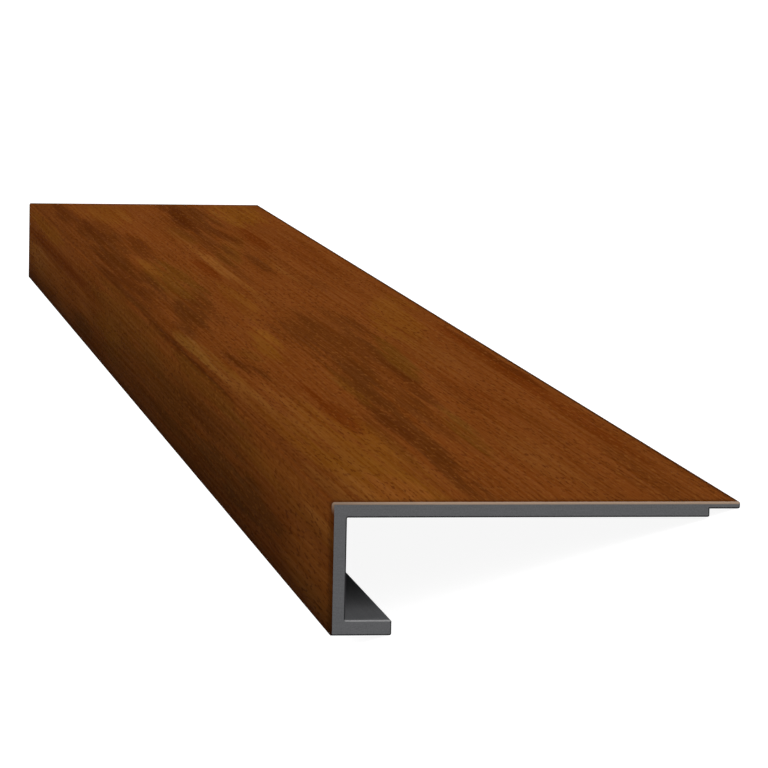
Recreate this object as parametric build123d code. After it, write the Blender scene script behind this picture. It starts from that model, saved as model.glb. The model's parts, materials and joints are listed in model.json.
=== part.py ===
from build123d import *
import math
import os

# Landing nosing: the finished front edge of a stair landing, in wood-look rigid vinyl.
# A tread plate lies on the landing, a nose wall drops in front of it and a return turns back under
# the landing's edge. Behind the tread a thin lap passes over the edge of the first floor plank.
# A printed film with its wear layer covers the tread and the nose, and the grey core shows elsewhere.
#
# The section is drawn with x running back from the nose face and z up from the walking surface.
# The piece is then tipped back as it lies on a level floor, on the toe of its return and the rear lap.

# Driving sizes in millimetres
length = 1220.0  # sold length, between the two sawn ends
tread_depth = 123.0  # nose face to the shoulder where the tread steps up into the lap
lap_reach = 10.0  # shoulder to the tip of the lap
lap_thickness = 2.3  # lap, with its film
nose_height = 43.0  # walking surface to the underside of the return
return_depth = 20.0  # nose face to the toe of the return
stock_thickness = 5.0  # tread, nose and return, with the film
film_thickness = 0.8  # printed film and wear layer together
core_nose_radius = 0.2  # top front edge of the core, which the film bends round
fold_radius = 0.3  # the two inside corners
edge_radius = 0.6  # eased edges of the toe, the shoulder and the lap
film_bevel = 0.4  # fine bevel along the film's two long free edges
end_bevel = 0.5  # arris taken off all round both sawn ends

# Sizes that follow from them
overall_depth = tread_depth + lap_reach
nose_radius = core_nose_radius + film_thickness
return_top = stock_thickness - nose_height


def vertices_at(face, *corners):
    """The vertices of a face that lie at these corners of the section."""
    return [face.vertices().sort_by_distance(corner)[0] for corner in corners]


def section_outline():
    """The whole cut end, film included, with every long edge eased."""
    nose = (0, 0)
    lap_tip_top = (overall_depth, 0)
    lap_tip_bottom = (overall_depth, -lap_thickness)
    lap_root = (tread_depth, -lap_thickness)
    shoulder = (tread_depth, -stock_thickness)
    upper_fold = (stock_thickness, -stock_thickness)
    lower_fold = (stock_thickness, return_top)
    toe_top = (return_depth, return_top)
    toe_bottom = (return_depth, -nose_height)
    heel = (0, -nose_height)

    corners = [nose, lap_tip_top, lap_tip_bottom, lap_root, shoulder]
    corners += [upper_fold, lower_fold, toe_top, toe_bottom, heel]
    outline = make_face(Polyline(*corners, close=True))
    outline = fillet(vertices_at(outline, nose), nose_radius)
    outline = fillet(vertices_at(outline, upper_fold, lower_fold), fold_radius)
    outline = fillet(vertices_at(outline, toe_top, toe_bottom, shoulder, lap_tip_bottom), edge_radius)
    return chamfer(vertices_at(outline, lap_tip_top, heel), film_bevel)


def whole_profile():
    """Core and film as one bar, with the arris taken off round both sawn ends."""
    bar = extrude(Plane.XZ * section_outline(), length / 2, both=True)
    sawn_ends = bar.faces().filter_by(Axis.Y)
    return chamfer(sawn_ends.edges(), end_bevel)


def core_side():
    """Everything behind the film: the block that splits the bar into core and film."""
    block = Box(
        overall_depth,
        length,
        nose_height,
        align=(Align.MIN, Align.CENTER, Align.MAX),
    )
    top_front = block.edges().filter_by(Axis.Y).sort_by(Axis.X)[:2].sort_by(Axis.Z)[-1]
    return Pos(film_thickness, 0, -film_thickness) * fillet(top_front, core_nose_radius)


def resting_tilt():
    """Degrees that the piece tips back until the lap, or the shoulder if it is lower, meets the floor.

    The toe, the shoulder and the lap are eased alike, so their corners stand in for their rounds.
    """
    toe = Vector(return_depth, -nose_height)
    lap_tip = Vector(overall_depth, -lap_thickness)
    shoulder = Vector(tread_depth, -stock_thickness)
    rises = [rear - toe for rear in (lap_tip, shoulder)]
    return min(math.degrees(math.atan2(rise.Y, rise.X)) for rise in rises)


bar = whole_profile()
tipped = Rot(0, resting_tilt(), 0)
box = (tipped * bar).bounding_box()
on_the_floor = Pos(-box.center().X, 0, -box.min.Z) * tipped

pieces = {
    "core_profile": on_the_floor * (bar & core_side()),
    "decor_film": on_the_floor * (bar - core_side()),
}

os.makedirs("parts", exist_ok=True)
for name, piece in pieces.items():
    export_step(piece, f"parts/{name}.step")
    print(name, "volume", round(piece.volume), "mm3, solids", len(piece.solids()))
print("resting tilt", round(resting_tilt(), 3), "degrees; section origin at", on_the_floor.position)
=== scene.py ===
# %% [markdown]
# # A landing nosing in wood-look vinyl
# A landing nosing finishes the front edge of a stair landing. This one is made from plank stock: a grey,
# mineral-filled core carries a printed film that looks like red-brown wood. Its shape comes ready made
# from a measured model, so this lesson is about the finishes, the light and the camera.

# %% Load the measured model
import json
import math

import bmesh
import bpy
from mathutils import Matrix, Vector


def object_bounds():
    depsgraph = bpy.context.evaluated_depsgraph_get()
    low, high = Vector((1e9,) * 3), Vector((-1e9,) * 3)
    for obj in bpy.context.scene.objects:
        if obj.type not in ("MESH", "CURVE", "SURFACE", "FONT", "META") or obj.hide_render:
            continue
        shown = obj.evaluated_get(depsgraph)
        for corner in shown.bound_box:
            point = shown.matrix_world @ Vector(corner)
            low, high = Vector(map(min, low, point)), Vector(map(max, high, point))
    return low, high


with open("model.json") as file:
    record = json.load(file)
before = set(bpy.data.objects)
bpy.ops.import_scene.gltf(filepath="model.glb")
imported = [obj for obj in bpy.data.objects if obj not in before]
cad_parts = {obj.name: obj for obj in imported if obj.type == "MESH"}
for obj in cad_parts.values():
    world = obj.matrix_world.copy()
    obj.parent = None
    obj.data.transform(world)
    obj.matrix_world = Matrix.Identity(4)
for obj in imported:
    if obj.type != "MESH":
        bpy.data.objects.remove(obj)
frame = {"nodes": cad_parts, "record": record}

measured_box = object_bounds()
print("pieces", sorted(frame["nodes"]), "between", measured_box)

# %% [markdown]
# ## Where the section lies
# The nosing can't stand on its short return, so it lies tipped back on the floor. Finishes, light and
# camera are easier to place in the section's own axes: back from the nose face, along the length, and up
# from the walking surface. Two flat seats of the record give the tilt and the nose edge, which is safer
# than typing the angle a second time.

# %% The section's own axes
MM = 0.001
stock_thickness = 5.0

seats = {mount["name"]: mount for mount in frame["record"]["mounts"]}
section_up = -Vector(seats["landing_seat"]["axis"]).normalized()
section_back = Vector(seats["nose_back"]["axis"]).normalized()
section_along = Vector((0.0, 1.0, 0.0))
tilt = math.atan2(section_up.x, section_up.z)

nose_face = Vector(seats["nose_back"]["pos_m"]).dot(section_back) - stock_thickness * MM
walking_surface = Vector(seats["landing_seat"]["pos_m"]).dot(section_up) + stock_thickness * MM
nose_edge = section_back * nose_face + section_up * walking_surface
print("tilt", round(math.degrees(tilt), 2), "degrees, nose edge at", nose_edge)

# %% [markdown]
# ## The camera
# The cut end faces the lens almost squarely while the tread runs away to the upper left, so the camera
# stands a little to the left of the nose and above it, with a long lens. It could be turned by three
# angles, but a place, a target and a small roll are numbers that can be read, and a look-at matrix turns
# them into a pose.

# %% Place the camera


def section_point(back, along, up):
    """A place given in the section's axes, in millimetres from the middle of the nose edge."""
    return nose_edge + (section_back * back + section_along * along + section_up * up) * MM


camera_place = section_point(-211.8, -2046.5, 205.8)
camera_target = section_point(112.66, 0.0, -33.39)
camera_roll = math.radians(1.173)
sensor_width = 36.0
focal_length = 216.26

camera_data = bpy.data.cameras.new("camera")
camera_data.sensor_width = sensor_width
camera_data.lens = focal_length
camera = bpy.data.objects.new("camera", camera_data)
bpy.context.scene.collection.objects.link(camera)

sight = (camera_target - camera_place).normalized()
right = sight.cross(section_up).normalized()
look_at = Matrix((right, right.cross(sight), -sight)).transposed()
roll = Matrix.Rotation(camera_roll, 4, "Z")
camera.matrix_world = Matrix.Translation(camera_place) @ look_at.to_4x4() @ roll
bpy.context.scene.camera = camera
print("camera at", camera_place, "looking along", sight)

# %% [markdown]
# ## Short ways to wire nodes
# A finish is a tree of nodes. Wired by hand, each node takes three or four lines, and the idea gets lost
# between them. The first helper fills one socket with a value or a link. The others add a node, fill its
# inputs, and hand back something that the next call can use, so that a finish reads like a formula.

# %% Nodes and links


def connect(tree, socket, value):
    """Links an output to a socket, or sets the socket to a plain value."""
    if isinstance(value, bpy.types.NodeSocket):
        tree.links.new(value, socket)
    else:
        socket.default_value = value


def add_node(tree, kind, inputs, **options):
    """Adds a node, sets its options, and fills its inputs, which are given by name or number."""
    node = tree.nodes.new(kind)
    for option, value in options.items():
        setattr(node, option, value)
    for socket, value in inputs.items():
        connect(tree, node.inputs[socket], value)
    return node


def calculate(tree, operation, first, second=0.0):
    """One step of arithmetic."""
    return add_node(tree, "ShaderNodeMath", {0: first, 1: second}, operation=operation).outputs[0]


print("three helpers: connect, add_node and calculate")

# %% [markdown]
# ## Unfolding the film
# The film is printed flat and then bent round the nose, so its pattern runs on from the tread down the
# nose face. A UV map could unfold it, but the section is simple enough for arithmetic: on the tread the
# height is zero and on the nose the depth is zero, so their sum counts millimetres across the flat film.
# Object coordinates are turned into the section's axes first.

# %% Section coordinates and the flat film
half_length = measured_box[1].y / MM


def section_place(tree):
    """Millimetres back from the nose face, along from the middle, and up from the walking surface."""
    place = add_node(tree, "ShaderNodeTexCoord", {}).outputs["Object"]
    inputs = {
        "Vector": place,
        "Location": nose_edge,
        "Rotation": (0.0, tilt, 0.0),
        "Scale": (MM, MM, MM),
    }
    turned = add_node(tree, "ShaderNodeMapping", inputs, vector_type="TEXTURE").outputs["Vector"]
    return add_node(tree, "ShaderNodeSeparateXYZ", {"Vector": turned}).outputs


def join(tree, x, y, z=0.0):
    """Three numbers as one vector."""
    return add_node(tree, "ShaderNodeCombineXYZ", {"X": x, "Y": y, "Z": z}).outputs[0]


def flat_film(tree, back, along, up):
    """Millimetres across from the nose edge, and the same joined with those from the near end."""
    across = calculate(tree, "ADD", back, up)
    return across, join(tree, across, calculate(tree, "ADD", along, half_length))


print("the flat film is", round(2.0 * half_length), "mm long")

# %% [markdown]
# ## Noise that follows the grain
# Wood grain is stretched: a patch of colour is a few millimetres wide and many times as long. Plain noise
# is round, so its coordinates are divided by the size that a patch should have. Grain also wanders a
# little from side to side. Each fibre could be drawn as a curve, but shifting the coordinates by a broad
# noise bends all of them at once.

# %% Stretched noise and the wandering grain
# A size is across and along the film in millimetres. On the flat film its third number has no effect.
bend_size = (60.0, 260.0, 1.0)
grain_wander = 3.0


def patchy(tree, vector, size, detail=2.0, shift=0.0):
    """Noise from 0 to 1 whose patches are about this many millimetres in each direction."""
    scale = [1.0 / length for length in size]
    inputs = {"Vector": vector, "Scale": scale, "Location": (shift, shift, shift)}
    stretched = add_node(tree, "ShaderNodeMapping", inputs, vector_type="POINT").outputs["Vector"]
    inputs = {"Vector": stretched, "Scale": 1.0, "Detail": detail}
    return add_node(tree, "ShaderNodeTexNoise", inputs).outputs["Fac"]


def grain_place(tree, plank):
    """Coordinates on the flat film that follow the grain as it wanders to each side."""
    bend = patchy(tree, plank, bend_size, detail=1.0)
    bend = calculate(tree, "MULTIPLY", calculate(tree, "SUBTRACT", bend, 0.5), grain_wander)
    inputs = {0: plank, 1: join(tree, bend, 0.0)}
    return add_node(tree, "ShaderNodeVectorMath", inputs, operation="ADD").outputs[0]


print("the grain wanders up to", grain_wander / 2, "mm to each side")

# %% [markdown]
# ## The browns of the print
# The print is made of a few browns. Red is the ground, and tawny is laid over it on the nose. Gold,
# bright, copper and straw are the pale marks, olive and russet the tinted ones, and dark, walnut and umber
# the dark ones. A colour could be written into each mark, but names keep the long lists readable.
# Blender's sockets take linear colours, so the numbers are smaller than the screen values that they show.

# %% The palette


def rgb(red, green, blue):
    """A linear colour, as a colour socket takes it."""
    return (red, green, blue, 1.0)


palette = {
    "red": rgb(0.162, 0.0430, 0.0066),
    "dark": rgb(0.092, 0.0246, 0.0036),
    "gold": rgb(0.191, 0.0622, 0.0066),
    "bright": rgb(0.228, 0.0770, 0.0136),
    "olive": rgb(0.130, 0.0440, 0.0050),
    "russet": rgb(0.126, 0.0262, 0.0026),
    "umber": rgb(0.077, 0.0172, 0.0020),
    "copper": rgb(0.222, 0.0660, 0.0105),
    "walnut": rgb(0.080, 0.0262, 0.0042),
    "tawny": rgb(0.168, 0.0560, 0.0070),
    "straw": rgb(0.205, 0.0800, 0.0125),
}
print(len(palette), "browns")

# %% [markdown]
# ## The figure of the wood
# Wood is never even. This print has broad golden and dark patches and a few clear streaks, and whoever
# knows the plank looks for them. Noise alone would put them anywhere, so they are listed, one row for each
# mark: its colour, its middle from the near end and from the nose edge, its half length and its half
# width, all in millimetres, its lean towards the rear for each millimetre along, and the share of what
# lies under it that it covers. A later mark lies over an earlier one.

# %% Marks on the near part of the tread
near_marks = [
    # Colour, middle along and across, half length and width, lean, share covered.
    ("gold", 100, 27, 140, 16, 0.0, 0.75),
    ("gold", 45, 22, 70, 12, 0.0, 0.90),
    ("bright", 200, 20, 120, 4, 0.0, 0.40),
    ("gold", 160, 10, 130, 4.5, 0.0, 0.45),
    ("bright", 385, 9.2, 130, 3.6, -0.02, 0.95),
    ("umber", 410, 0.6, 165, 2.1, 0.0, 1.00),
    ("umber", 600, 1.5, 180, 2.0, 0.0, 0.45),
    ("russet", 252, 35, 70, 4.2, 0.0, 0.95),
    ("dark", 130, 53, 140, 5.5, 0.02, 0.85),
    ("umber", 225, 51, 62, 4, 0.0, 0.85),
    ("dark", 230, 65, 80, 4, 0.0, 0.40),
    ("olive", 310, 52, 65, 4, 0.02, 0.75),
    ("dark", 330, 61, 100, 5.5, 0.05, 0.75),
    ("dark", 395, 72, 140, 15, 0.03, 0.85),
    ("umber", 315, 77, 60, 5, 0.0, 0.45),
    ("dark", 386, 20.5, 48, 4, -0.06, 0.80),
    ("umber", 392, 20.5, 42, 3.5, -0.05, 0.40),
    ("olive", 420, 27, 30, 4.5, 0.0, 0.50),
    ("gold", 470, 40, 55, 5.5, 0.05, 0.85),
    ("olive", 178, 74, 65, 3.8, 0.03, 0.80),
    ("bright", 110, 87, 90, 7, 0.0, 0.25),
    ("russet", 290, 124.5, 190, 4.5, 0.01, 0.80),
    ("russet", 430, 126, 140, 3.5, 0.0, 0.70),
    ("russet", 280, 96, 65, 6, 0.0, 0.45),
    ("dark", 45, 115, 80, 8, 0.0, 0.30),
    ("copper", 18, 24, 45, 9, 0.0, 0.90),
    ("bright", 38, 13, 40, 4.5, 0.0, 0.55),
    ("bright", 25, 4, 60, 3.2, 0.0, 0.60),
    ("bright", 300, 8, 60, 3, 0.0, 0.45),
    ("dark", 155, 43, 70, 3, 0.02, 0.45),
    ("dark", 235, 50, 60, 3.5, 0.0, 0.40),
    ("dark", 360, 55, 70, 3, 0.0, 0.40),
    ("dark", 295, 91, 60, 4, 0.0, 0.30),
    ("red", 310, 68, 50, 3, 0.0, 0.50),
    ("red", 352, 74, 48, 4, 0.0, 0.60),
    ("umber", 400, 128, 130, 2.2, 0.0, 0.50),
    ("straw", 425, 8.5, 85, 3.8, -0.02, 0.70),
]
print(len(near_marks), "marks on the near part")

# %% Marks on the middle of the tread
middle_marks = [
    # Colour, middle along and across, half length and width, lean, share covered.
    ("dark", 515, 71, 100, 17, 0.05, 0.70),
    ("olive", 420, 87, 80, 4.5, 0.04, 0.85),
    ("dark", 625, 27, 115, 8, 0.12, 0.80),
    ("gold", 650, 52, 90, 5, 0.03, 0.55),
    ("bright", 460, 105, 100, 8, 0.03, 0.25),
    ("gold", 575, 112, 105, 11, 0.12, 0.60),
    ("olive", 750, 32, 95, 11, 0.03, 0.85),
    ("gold", 810, 27, 50, 3, 0.0, 0.60),
    ("bright", 785, 62, 115, 2.9, 0.0, 0.72),
    ("bright", 860, 63, 32, 3, 0.0, 0.55),
    ("bright", 920, 61.5, 90, 2.4, 0.0, 0.40),
    ("bright", 665, 62, 60, 2.6, 0.0, 0.35),
    ("russet", 803, 54.5, 60, 3.2, 0.0, 0.95),
    ("bright", 810, 91, 55, 3, 0.0, 0.40),
    ("umber", 790, 10, 170, 8, 0.04, 0.60),
    ("dark", 475, 51, 80, 3, 0.0, 0.30),
    ("dark", 570, 20.5, 70, 4, 0.02, 0.50),
    ("dark", 650, 12, 60, 4, 0.0, 0.35),
    ("dark", 590, 31, 60, 4, 0.0, 0.45),
    ("dark", 745, 17.5, 90, 4.5, 0.0, 0.85),
    ("red", 465, 72, 75, 9, 0.05, 0.35),
    ("red", 580, 81, 60, 6, 0.03, 0.45),
    ("dark", 530, 88, 55, 4.5, 0.03, 0.55),
    ("dark", 725, 100, 60, 3.5, 0.0, 0.35),
    ("dark", 800, 68, 60, 2.8, 0.0, 0.40),
    ("red", 800, 115, 70, 5, 0.0, 0.60),
]
print(len(middle_marks), "marks on the middle")

# %% Marks on the far part of the tread
far_marks = [
    # Colour, middle along and across, half length and width, lean, share covered.
    ("dark", 850, 85, 62, 3, 0.0, 0.70),
    ("olive", 905, 78, 95, 6.5, 0.13, 0.65),
    ("olive", 1000, 65, 55, 5, 0.0, 0.60),
    ("russet", 980, 101, 75, 4.3, 0.0, 0.90),
    ("russet", 890, 115, 100, 8, 0.0, 0.45),
    ("dark", 975, 76, 85, 4.2, 0.0, 0.70),
    ("dark", 945, 71, 150, 3.2, 0.0, 0.50),
    ("umber", 1008, 87.5, 60, 4.5, 0.0, 0.80),
    ("dark", 1130, 84, 110, 13, 0.02, 0.85),
    ("umber", 1120, 76, 95, 6, 0.0, 0.90),
    ("gold", 1145, 112, 75, 14, 0.06, 0.85),
    ("gold", 1145, 36, 70, 13, 0.0, 0.50),
    ("umber", 850, 9, 85, 5, 0.09, 0.35),
    ("dark", 970, 19, 140, 9, 0.03, 0.80),
    ("umber", 1030, 20.5, 65, 3.5, 0.0, 0.75),
    ("umber", 1120, 14.5, 100, 5.5, 0.0, 0.60),
    ("umber", 930, 34, 80, 4.5, 0.02, 0.60),
    ("dark", 950, 29, 80, 3.5, 0.0, 0.45),
    ("dark", 880, 97, 60, 3, 0.0, 0.30),
    ("dark", 1060, 67, 80, 3, 0.0, 0.35),
    ("dark", 1090, 8.5, 90, 3, 0.0, 0.35),
    ("red", 1070, 26, 60, 4, 0.0, 0.50),
]
print(len(far_marks), "marks on the far part")

# %% Marks on the nose
nose_marks = [
    # Colour, middle along and across, half length and width, lean, share covered.
    ("tawny", 560, -20, 330, 20, 0.0, 0.30),
    ("copper", 40, -31, 70, 11, 0.0, 0.95),
    ("gold", 110, -9, 115, 8, 0.0, 0.28),
    ("walnut", 240, -7, 60, 4, 0.0, 0.30),
    ("walnut", 240, -28, 130, 7, 0.0, 0.65),
    ("walnut", 380, -16, 180, 8, 0.0, 0.40),
    ("walnut", 400, -33, 160, 6, 0.0, 0.30),
    ("walnut", 620, -26, 260, 9, 0.0, 0.35),
    ("russet", 600, -33.5, 95, 4.5, 0.0, 0.20),
    ("olive", 715, -27, 40, 7, 0.0, 0.50),
    ("copper", 1040, -28, 190, 11, 0.0, 0.80),
    ("russet", 945, -30, 65, 7, 0.0, 0.30),
    ("russet", 1010, -14, 200, 3.6, 0.0, 0.80),
    ("gold", 1100, -4.5, 110, 4.5, 0.0, 0.70),
    ("bright", 30, -12, 60, 3.5, 0.0, 0.55),
    ("bright", 25, -37, 60, 4, 0.0, 0.50),
    ("gold", 185, -12, 70, 3.5, 0.0, 0.35),
    ("olive", 330, -3, 130, 4, 0.0, 0.60),
    ("olive", 640, -10, 170, 10, 0.0, 0.45),
    ("umber", 360, -18.5, 55, 5, 0.0, 0.40),
    ("gold", 750, -22, 60, 5, 0.0, 0.40),
    ("walnut", 880, -34, 55, 5, 0.0, 0.60),
    ("copper", 890, -20.5, 50, 4, 0.0, 0.35),
    ("bright", 1150, -25, 60, 7, 0.0, 0.70),
]
print(len(nose_marks), "marks on the nose")

# %% [markdown]
# ## Laying the marks
# Each mark is a soft ellipse. All of them could be painted into an image, but a spherical gradient in a
# frame that is stretched and leant over is the same ellipse, and it stays clean however close the lens
# comes. Noise along the grain frays the ellipse, so that no mark looks stamped.

# %% Lay every mark over the ground
figure = near_marks + middle_marks + far_marks + nose_marks
soft_rim = 1.6  # the gradient reaches this many times as far as the mark
fray_size = (4.0, 110.0, 1.0)
fray_levels = (0.3, 0.7)  # of the noise, for the weakest and the strongest fray
fray_strength = (0.45, 1.55)
cover_levels = (0.15, 0.65)  # of the frayed gradient, where a mark begins to cover and where it is full


def smooth_step(tree, value, low, high, start=0.0, end=1.0):
    """Start below low, end above high, and a smooth change between."""
    inputs = {"Value": value, "From Min": low, "From Max": high, "To Min": start, "To Max": end}
    return add_node(tree, "ShaderNodeMapRange", inputs, interpolation_type="SMOOTHSTEP").outputs[0]


def mix_colours(tree, share, first, second, blend="MIX"):
    """The first colour with a share of the second laid over it."""
    inputs = {0: share, 6: first, 7: second}
    return add_node(tree, "ShaderNodeMix", inputs, data_type="RGBA", blend_type=blend).outputs[2]


def figure_colour(tree, plank, grain):
    """The ground colour with every mark laid over it, frayed along the grain."""
    fray = patchy(tree, grain, fray_size, detail=3.0)
    ragged = smooth_step(tree, fray, *fray_levels, *fray_strength)
    colour = palette["red"]
    for name, middle, across, half_long, half_wide, lean, share in figure:
        inputs = {
            "Vector": plank,
            "Location": (across, middle, 0.0),
            "Rotation": (0.0, 0.0, -lean),
            "Scale": (half_wide * soft_rim, half_long * soft_rim, 1.0),
        }
        own_frame = add_node(tree, "ShaderNodeMapping", inputs, vector_type="TEXTURE").outputs["Vector"]
        inputs = {"Vector": own_frame}
        ellipse = add_node(tree, "ShaderNodeTexGradient", inputs, gradient_type="SPHERICAL").outputs["Fac"]
        depth = calculate(tree, "MULTIPLY", ellipse, ragged)
        cover = smooth_step(tree, depth, *cover_levels, 0.0, share)
        colour = mix_colours(tree, cover, colour, palette[name])
    return colour


print(len(figure), "marks placed by hand")

# %% [markdown]
# ## Fibres, pores and flecks
# Between the large marks the print shows what every hardwood has: broad ribbons and long fibres, a little
# lighter or darker than their neighbours, short dark pores and short pale flecks. All of them are noise
# that is stretched along the grain. A pore or a fleck is where such noise passes a threshold. Pores spread
# evenly would look like dust, so a broad noise makes them gather, as they do in a growth ring.

# %% Sizes and tints of the fine grain
ribbon_size = (9.0, 190.0, 1.0)
fibre_size = (1.2, 150.0, 1.0)
ring_size = (16.0, 120.0, 1.0)
pore_size = (1.0, 10.0, 1.0)
fleck_size = (1.1, 9.0, 1.0)

# The levels of the noise between which the grain goes from dark to pale, or a pore or a fleck from nothing
# to its full strength.
ribbon_levels = (0.3, 0.7)
fibre_levels = (0.25, 0.75)
ring_levels = (0.35, 0.65)
pore_levels = (0.52, 0.66)
fleck_levels = (0.54, 0.70)

# What the print is multiplied by. The dark fibres are the redder ones.
dark_ribbon = rgb(0.93, 0.93, 0.90)
pale_ribbon = rgb(1.06, 1.07, 1.10)
dark_fibre = rgb(0.86, 0.79, 0.60)
pale_fibre = rgb(1.13, 1.21, 1.40)
print("fibres", fibre_size[0], "mm wide, pores", pore_size[0], "by", pore_size[1], "mm")

# %% The fine grain over the figure
pore_shift = 31.0  # moves the pores' noise away from the flecks'
fleck_shift = 57.0
pore_strength = (0.55, 1.0)  # between the growth rings and in them
pore_share = 0.70
fleck_share = 0.45


def fine_grain(tree, grain):
    """How pale the ribbons and the fibres are, from 0 to 1, and where the pores and the flecks are."""
    ribbon = smooth_step(tree, patchy(tree, grain, ribbon_size, detail=2.0), *ribbon_levels)
    fibre = smooth_step(tree, patchy(tree, grain, fibre_size, detail=3.0), *fibre_levels)
    ring = smooth_step(tree, patchy(tree, grain, ring_size, detail=1.0), *ring_levels, *pore_strength)
    pore = smooth_step(tree, patchy(tree, grain, pore_size, shift=pore_shift), *pore_levels)
    fleck = smooth_step(tree, patchy(tree, grain, fleck_size, shift=fleck_shift), *fleck_levels)
    return ribbon, fibre, calculate(tree, "MULTIPLY", pore, ring), fleck


def tinted(tree, colour, pale, low, high):
    """The colour multiplied by a tint that goes from low to high as the grain gets paler."""
    return mix_colours(tree, 1.0, colour, mix_colours(tree, pale, low, high), "MULTIPLY")


def printed_wood(tree, plank, grain, ribbon, fibre, pore, fleck):
    """The figure with its fine grain, as it is on the flat film."""
    colour = tinted(tree, figure_colour(tree, plank, grain), ribbon, dark_ribbon, pale_ribbon)
    colour = tinted(tree, colour, fibre, dark_fibre, pale_fibre)
    colour = mix_colours(tree, calculate(tree, "MULTIPLY", pore, pore_share), colour, palette["umber"])
    return mix_colours(tree, calculate(tree, "MULTIPLY", fleck, fleck_share), colour, palette["bright"])


print("pores cover up to", pore_share, "and flecks up to", fleck_share, "of the print")

# %% [markdown]
# ## The painted shade on the nose
# The print is darkened towards the front by painted shade, from about 40 mm behind the nose edge to almost
# black at the foot of the nose face. Lamps could darken the nose only as one flat face, so the shade is
# painted into the film, and a colour ramp across it holds the levels.

# %% The ramp of the painted shade
# Painted shade: how much of the print's light is left, at millimetres across from the nose edge.
painted_shade_ramp = [
    (-43.0, 0.11),
    (-39.0, 0.20),
    (-35.0, 0.27),
    (-28.0, 0.385),
    (-20.0, 0.45),
    (-13.0, 0.505),
    (-7.0, 0.635),
    (3.0, 0.70),
    (9.0, 0.81),
    (20.0, 0.92),
    (42.0, 1.0),
]


def painted_nose_shade(tree, across):
    """The painted shade as a grey that the print is multiplied by."""
    first, last = painted_shade_ramp[0][0], painted_shade_ramp[-1][0]
    inputs = {"Value": across, "From Min": first, "From Max": last}
    place = add_node(tree, "ShaderNodeMapRange", inputs).outputs[0]
    ramp = add_node(tree, "ShaderNodeValToRGB", {"Fac": place})
    stops = ramp.color_ramp.elements
    while len(stops) < len(painted_shade_ramp):
        stops.new(1.0)
    for stop, (distance, level) in zip(stops, painted_shade_ramp):
        stop.position = (distance - first) / (last - first)
        stop.color = rgb(level, level, level)
    return ramp.outputs["Color"]


print("burnish from", painted_shade_ramp[0][0], "to", painted_shade_ramp[-1][0], "mm across the film")

# %% [markdown]
# ## The cut edge and the dark rim
# At both ends the saw has cut through the film, and there the pale body of the vinyl shows as a thin line.
# The line is also a painted highlight, so it fades round the nose edge and stays pale only along the top.
# The print is also darker along its rear edge and towards its two ends.
# Strips of their own material could show this, but distances from the edges mask it without any new shape.

# %% Masks by the distance from the edges
end_bevel = 0.5
film_depth = 133.0
mask_softness = 0.04
end_rim = 11.0  # where the print begins to darken towards an end
end_rim_share = 0.7
rear_rim = (2.2, 1.2)  # where it begins to darken towards the rear, and where it is darkest
rim_shade = 0.45
# The pale cut line is partly the vinyl's own body and partly a painted highlight.
vinyl_body_and_highlight = rgb(0.300, 0.215, 0.155)
cut_highlight_fade = (-4.0, 1.0)  # across the film, from no pale line to all of it


def past_end(tree, along, inset):
    """1 beyond this many millimetres from either end, and 0 on the long faces."""
    distance = calculate(tree, "ABSOLUTE", along)
    border = half_length - inset
    return smooth_step(tree, distance, border - mask_softness, border + mask_softness)


def dark_rim(tree, back, along):
    """1 along the film's rear edge, a share of that at its two ends, and 0 elsewhere."""
    distance = calculate(tree, "ABSOLUTE", along)
    near_end = smooth_step(tree, distance, half_length - end_rim, half_length, 0.0, end_rim_share)
    near_rear = smooth_step(tree, back, film_depth - rear_rim[0], film_depth - rear_rim[1])
    return calculate(tree, "MAXIMUM", near_end, near_rear)


def print_with_cut_and_shade(tree, colour, back, along, across):
    """The print darkened at its rim, pale at its cut ends with the vinyl body and a painted highlight, and
    darkened towards the nose with painted shade.
    """
    rim = smooth_step(tree, dark_rim(tree, back, along), 0.0, 1.0, 1.0, rim_shade)
    colour = mix_colours(tree, 1.0, colour, rim, "MULTIPLY")
    # The pale cut line, partly vinyl body and partly painted highlight, fades round the nose edge.
    highlight_fade = smooth_step(tree, across, *cut_highlight_fade)
    cut_and_highlight = calculate(tree, "MULTIPLY", past_end(tree, along, end_bevel), highlight_fade)
    colour = mix_colours(tree, cut_and_highlight, colour, vinyl_body_and_highlight)
    # Painted shade towards the nose.
    return mix_colours(tree, 1.0, colour, painted_nose_shade(tree, across), "MULTIPLY")


print("the rim darkens", end_rim, "mm at the ends and", rear_rim[0], "mm at the rear")

# %% [markdown]
# ## The film as one material
# The wear layer over the print is matt. The pores are pressed into it, the pale fibres stand up a little
# and are a touch smoother. The emboss could be real displacement, but at a few hundredths of a millimetre
# a bump is enough. The gloss is almost off, because from a low angle it lays a grey haze over dark wood.

# %% The film's material
emboss_depth = 0.06 * MM
fibre_relief = 0.25
film_roughness = (0.92, 0.78)  # on the dark fibres and on the pale ones
film_gloss = 0.001


def new_finish(name):
    """An empty material, with its node tree and its shader."""
    material = bpy.data.materials.new(name)
    material.use_nodes = True
    return material, material.node_tree, material.node_tree.nodes["Principled BSDF"]


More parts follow.
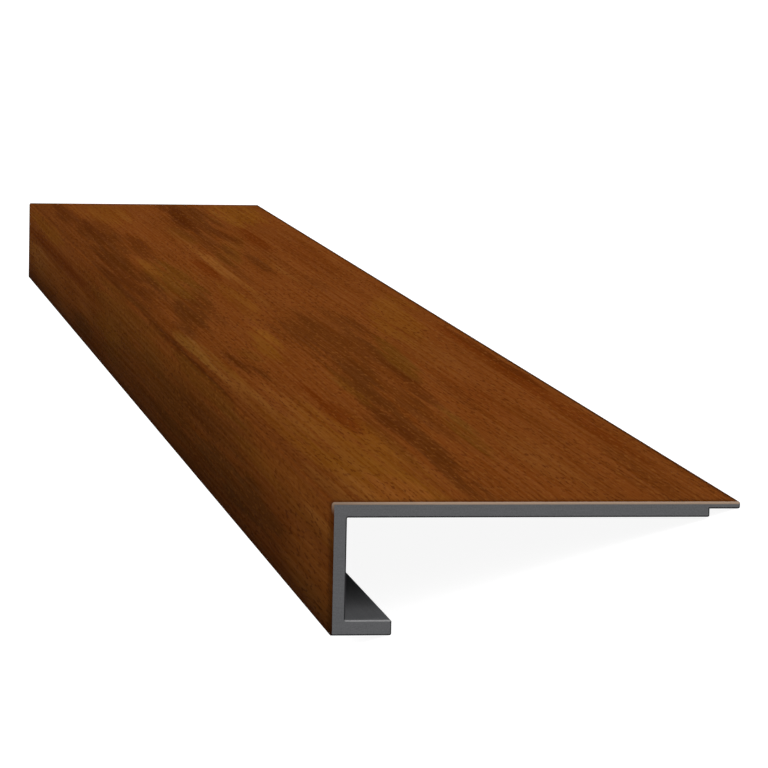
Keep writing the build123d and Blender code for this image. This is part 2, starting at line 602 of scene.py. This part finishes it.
def wood_film():
    """The printed film: its colour, its emboss and its roughness."""
    material, tree, shader = new_finish("wood_print_film")
    back, along, up = section_place(tree)
    across, plank = flat_film(tree, back, along, up)
    grain = grain_place(tree, plank)
    ribbon, fibre, pore, fleck = fine_grain(tree, grain)

    colour = printed_wood(tree, plank, grain, ribbon, fibre, pore, fleck)
    colour = print_with_cut_and_shade(tree, colour, back, along, across)
    connect(tree, shader.inputs["Base Color"], colour)

    height = calculate(tree, "SUBTRACT", calculate(tree, "MULTIPLY", fibre, fibre_relief), pore)
    relief = add_node(tree, "ShaderNodeBump", {"Height": height, "Distance": emboss_depth})
    connect(tree, shader.inputs["Normal"], relief.outputs["Normal"])
    roughness = smooth_step(tree, fibre, 0.0, 1.0, *film_roughness)
    connect(tree, shader.inputs["Roughness"], roughness)
    shader.inputs["Specular IOR Level"].default_value = film_gloss
    return material


film = wood_film()
print(film.name, "has", len(film.node_tree.nodes), "nodes")

# %% [markdown]
# ## The grey core
# The core is vinyl filled with stone powder. It is matt and almost even, with a fine speckle. Its long
# faces carry faint lines from the die, and its ends the saw's strokes. The narrow arris round each end
# carries a painted highlight where it faces up and painted shade where it faces down. Each kind of face
# could have a material of its own, but the distance from the end tells which face a point is on, so one is
# enough.

# %% Colours and marks of the core
core_grey = rgb(0.105, 0.106, 0.110)
# Painted highlight and painted shade for the arris round each end.
highlight_grey = rgb(0.230, 0.230, 0.232)
shade_grey = rgb(0.022, 0.022, 0.023)
arris_light_levels = (-0.2, 0.5)  # how far the face looks up, from painted shade to painted highlight
end_face_inset = 0.05

# On the core a size is back, along and up in millimetres, and a range is what the grey is multiplied by.
speckle_size = (0.5, 0.5, 0.5)
die_line_size = (0.8, 400.0, 0.8)
saw_stroke_size = (7.0, 1.0, 0.35)
speckle_range = (0.88, 1.12)
line_range = (0.94, 1.06)
noise_levels = (0.2, 0.8)


def core_texture(tree, place, end_face):
    """The speckle, and the speckle with die lines on the long faces and saw strokes on the ends."""
    speckle = patchy(tree, place, speckle_size, detail=3.0)
    speckle = smooth_step(tree, speckle, *noise_levels, *speckle_range)
    die_line = smooth_step(tree, patchy(tree, place, die_line_size), *noise_levels, *line_range)
    saw_stroke = smooth_step(tree, patchy(tree, place, saw_stroke_size), *noise_levels, *line_range)
    lines = mix_colours(tree, end_face, die_line, saw_stroke)
    return speckle, mix_colours(tree, 1.0, speckle, lines, "MULTIPLY")


def arris_light_and_shade(tree):
    """Painted highlight where the face looks up, and painted shade where it looks down."""
    normal = add_node(tree, "ShaderNodeNewGeometry", {}).outputs["True Normal"]
    upward = add_node(tree, "ShaderNodeSeparateXYZ", {"Vector": normal}).outputs["Z"]
    return mix_colours(tree, smooth_step(tree, upward, *arris_light_levels), shade_grey, highlight_grey)


print("speckle", speckle_size[0], "mm, saw strokes", saw_stroke_size[2], "mm high")

# %% The core's material
core_relief = 0.03 * MM
core_roughness = (0.90, 0.75)  # on the dark specks and on the pale ones
core_gloss = 0.1


def grey_core():
    """The mineral-filled core: its colour, its fine relief and its roughness."""
    material, tree, shader = new_finish("grey_core")
    back, along, up = section_place(tree)
    end_face = past_end(tree, along, end_face_inset)
    arris = calculate(tree, "SUBTRACT", past_end(tree, along, end_bevel), end_face)
    speckle, texture = core_texture(tree, join(tree, back, along, up), end_face)

    # The arris gets a painted highlight where it faces up and painted shade where it faces down.
    colour = mix_colours(tree, arris, core_grey, arris_light_and_shade(tree))
    colour = mix_colours(tree, 1.0, colour, texture, "MULTIPLY")
    connect(tree, shader.inputs["Base Color"], colour)

    relief = add_node(tree, "ShaderNodeBump", {"Height": texture, "Distance": core_relief})
    connect(tree, shader.inputs["Normal"], relief.outputs["Normal"])
    roughness = smooth_step(tree, speckle, *speckle_range, *core_roughness)
    connect(tree, shader.inputs["Roughness"], roughness)
    shader.inputs["Specular IOR Level"].default_value = core_gloss
    return material


core = grey_core()
print(core.name, "has", len(core.node_tree.nodes), "nodes")

# %% [markdown]
# ## Dressing the two pieces
# The film and the core are two pieces of the measured model, bonded face to face. They could be copied and
# reworked as new meshes, but their shapes are right, so only the material in each piece's slots changes.

# %% Put the finishes on


def dress(node, material):
    """Puts one material in every slot of a measured piece."""
    slots = frame["nodes"][node].material_slots
    for slot in slots:
        slot.material = material
    print(node, "wears", material.name, "in", len(slots), "slot")


dress("decor_film", film)
dress("core_profile", core)

# %% [markdown]
# ## A white floor that throws little light back
# Product pictures stand on pure white. A floor that bright would light the piece from below and wash out
# its dark under-edges. So the floor is a mid grey for light that bounces, and it glows only for rays that
# come from the camera, from a reflection or through glass. The shadow stays, faintly.

# %% The floor's material
white = rgb(1.0, 1.0, 1.0)
floor_glow = 0.92
floor_grey = 0.3


def background_ray(tree):
    """1 for rays that should see the white background, and 0 for light that bounces."""
    path = add_node(tree, "ShaderNodeLightPath", {}).outputs
    seen = calculate(tree, "MAXIMUM", path["Is Camera Ray"], path["Is Glossy Ray"])
    return calculate(tree, "MAXIMUM", seen, path["Is Transmission Ray"])


def pale_floor():
    """Grey to the lamps and white to the eye."""
    material, tree, shader = new_finish("pale_floor")
    shader.inputs["Base Color"].default_value = rgb(floor_grey, floor_grey, floor_grey)
    shader.inputs["Roughness"].default_value = 1.0
    shader.inputs["Specular IOR Level"].default_value = 0.0
    shader.inputs["Emission Color"].default_value = white
    glow = calculate(tree, "MULTIPLY", background_ray(tree), floor_glow)
    connect(tree, shader.inputs["Emission Strength"], glow)
    return material


print("the floor glows at", floor_glow, "and bounces", floor_grey, "of the light")

# %% Lay the floor
floor_half = 20.0

sheet = bmesh.new()
bmesh.ops.create_grid(sheet, x_segments=1, y_segments=1, size=floor_half)
floor_mesh = bpy.data.meshes.new("floor")
sheet.to_mesh(floor_mesh)
sheet.free()
floor_mesh.materials.append(pale_floor())
floor = bpy.data.objects.new("floor", floor_mesh)
bpy.context.scene.collection.objects.link(floor)
print("floor", 2 * floor_half, "m wide")

# %% [markdown]
# ## The room
# A studio has pale walls all round. Modelled walls would need lamps of their own, so the world stands for
# them. It works like the floor: white to the eye, and only a weak ambient light to the piece, so that the
# lamps model it.

# %% The world
ambient = 0.12

world = bpy.data.worlds.new("studio")
bpy.context.scene.world = world
world.use_nodes = True
room = world.node_tree.nodes["Background"]
room.inputs["Color"].default_value = white
inputs = {"Value": background_ray(world.node_tree), "To Min": ambient, "To Max": 1.0}
strength = add_node(world.node_tree, "ShaderNodeMapRange", inputs).outputs[0]
connect(world.node_tree, room.inputs["Strength"], strength)
print("ambient light", ambient)

# %% [markdown]
# ## The lamps
# Two broad softboxes do the work. The main one stands in front of the nose and a little above it. The fill
# comes from the front right: it lights the cut end, tops up the tread and reaches a little way into the
# channel behind the nose. Area lamps would fall off along the bar, and a sun lamp with a wide angle is a
# softbox whose level doesn't depend on its distance. On a face that looks straight at it, level 1 shows a
# colour as it is written.

# %% Two softboxes
softbox_spread = math.radians(50.0)


def section_direction(back, along, up):
    """A direction given in the section's axes, turned into the model's."""
    return (section_back * back + section_along * along + section_up * up).normalized()


def softbox(name, direction, level):
    """A sun lamp with a wide angle that shines from this direction."""
    data = bpy.data.lights.new(name, "SUN")
    data.energy = level * math.pi
    data.angle = softbox_spread
    lamp = bpy.data.objects.new(name, data)
    lamp.matrix_world = direction.to_track_quat("Z", "Y").to_matrix().to_4x4()
    bpy.context.scene.collection.objects.link(lamp)
    print(name, "at level", level, "from", direction)


softbox("nose_softbox", section_direction(-0.90, 0.0, 0.44), level=0.90)
softbox("front_fill", section_direction(0.20, -0.78, 0.59), level=0.78)

# %% [markdown]
# ## Colours as they are written
# Blender's default view squeezes bright colours. The Standard view shows a linear colour as its plain
# screen value, so the palette above can be compared with a picture.

# %% Set the view
bpy.context.scene.view_settings.view_transform = "Standard"
